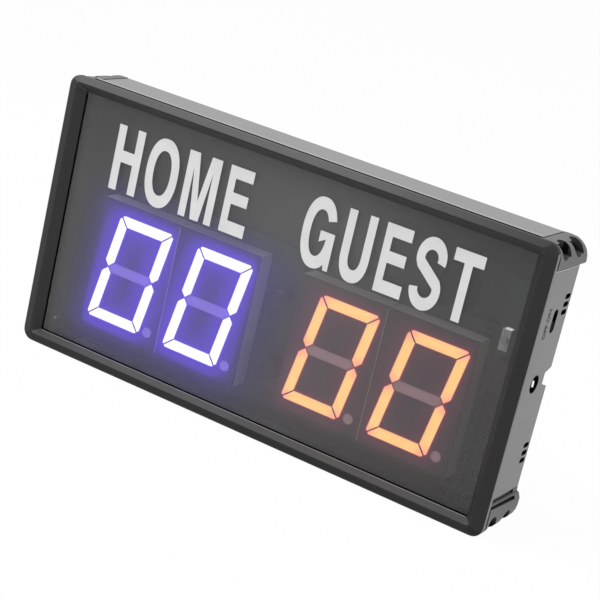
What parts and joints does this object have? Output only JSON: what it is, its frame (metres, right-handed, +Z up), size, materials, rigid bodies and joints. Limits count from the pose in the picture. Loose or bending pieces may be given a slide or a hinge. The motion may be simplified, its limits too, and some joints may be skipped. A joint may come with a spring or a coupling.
{
  "type": "electronic scoreboard",
  "caption": "Flat table-top electronic scoreboard: crowned bezel, smoked panel over seven-segment LED digit pairs, slotted corner blocks, side power inlet and slide switch.",
  "frame": {"origin": "middle of the footprint, on the plane that the scoreboard stands on", "axes": "+X to the viewer's right along the scoreboard, +Y from the front panel towards the rear cover, +Z up"},
  "size_m": [0.2428, 0.0304, 0.125],
  "materials": {
    "bezel_plastic": "fine satin grain, charcoal",
    "smoked_acrylic": "smooth smoked sheet with a soft sheen",
    "rail_aluminium": "dark anodised, lightly brushed along its length",
    "body_plastic": "fine moulded grain, dark grey",
    "cover_plastic": "textured moulded sheet, near black",
    "circuit_board": "dark green solder mask",
    "white_film": "diffusing film, white segments on a dark ground",
    "orange_film": "diffusing film, orange segments on a dark ground",
    "housing_plastic": "smooth moulded reflector",
    "black_plastic": "smooth moulded black",
    "capacitor_sleeve": "shrunk sleeve",
    "plated_metal": "bright tin plate",
    "receiver_resin": "smoky cast resin",
    "screw_steel": "blackened"
  },
  "bodies": {
    "scoreboard": {"front_bezel": "bezel_plastic", "smoked_panel": "smoked_acrylic", "top_rail": "rail_aluminium", "bottom_rail": "rail_aluminium", "left_end_panel": "body_plastic", "right_end_panel": "body_plastic", "corner_block_top_left": "body_plastic", "corner_block_top_right": "body_plastic", "corner_block_bottom_left": "body_plastic", "corner_block_bottom_right": "body_plastic", "rear_cover": "cover_plastic", "main_board": "circuit_board", "digit_led_board_1": "circuit_board", "digit_led_board_2": "circuit_board", "digit_led_board_3": "circuit_board", "digit_led_board_4": "circuit_board", "digit_face_1": "white_film", "digit_face_2": "white_film", "digit_face_3": "orange_film", "digit_face_4": "orange_film", "digit_housing_1": "housing_plastic", "digit_housing_2": "housing_plastic", "digit_housing_3": "housing_plastic", "digit_housing_4": "housing_plastic", "power_inlet_body": "black_plastic", "buzzer": "black_plastic", "microcontroller": "black_plastic", "segment_driver_1": "black_plastic", "segment_driver_2": "black_plastic", "smoothing_capacitor": "capacitor_sleeve", "power_inlet_pin": "plated_metal", "slide_switch_body": "plated_metal", "clock_crystal": "plated_metal", "infrared_receiver": "receiver_resin", "corner_screw_top_left": "screw_steel", "corner_screw_top_right": "screw_steel", "corner_screw_bottom_left": "screw_steel", "corner_screw_bottom_right": "screw_steel", "board_screw_top_left": "screw_steel", "board_screw_top_right": "screw_steel", "board_screw_bottom_left": "screw_steel", "board_screw_bottom_right": "screw_steel"},
    "switch_actuator": {"slide_switch_actuator": "black_plastic"}
  },
  "joints": [
    {"name": "power_switch_slide", "type": "slide", "parent": "scoreboard", "child": "switch_actuator", "axis": [0, 0, 1], "range_m": [0, 0.0044]}
  ]
}
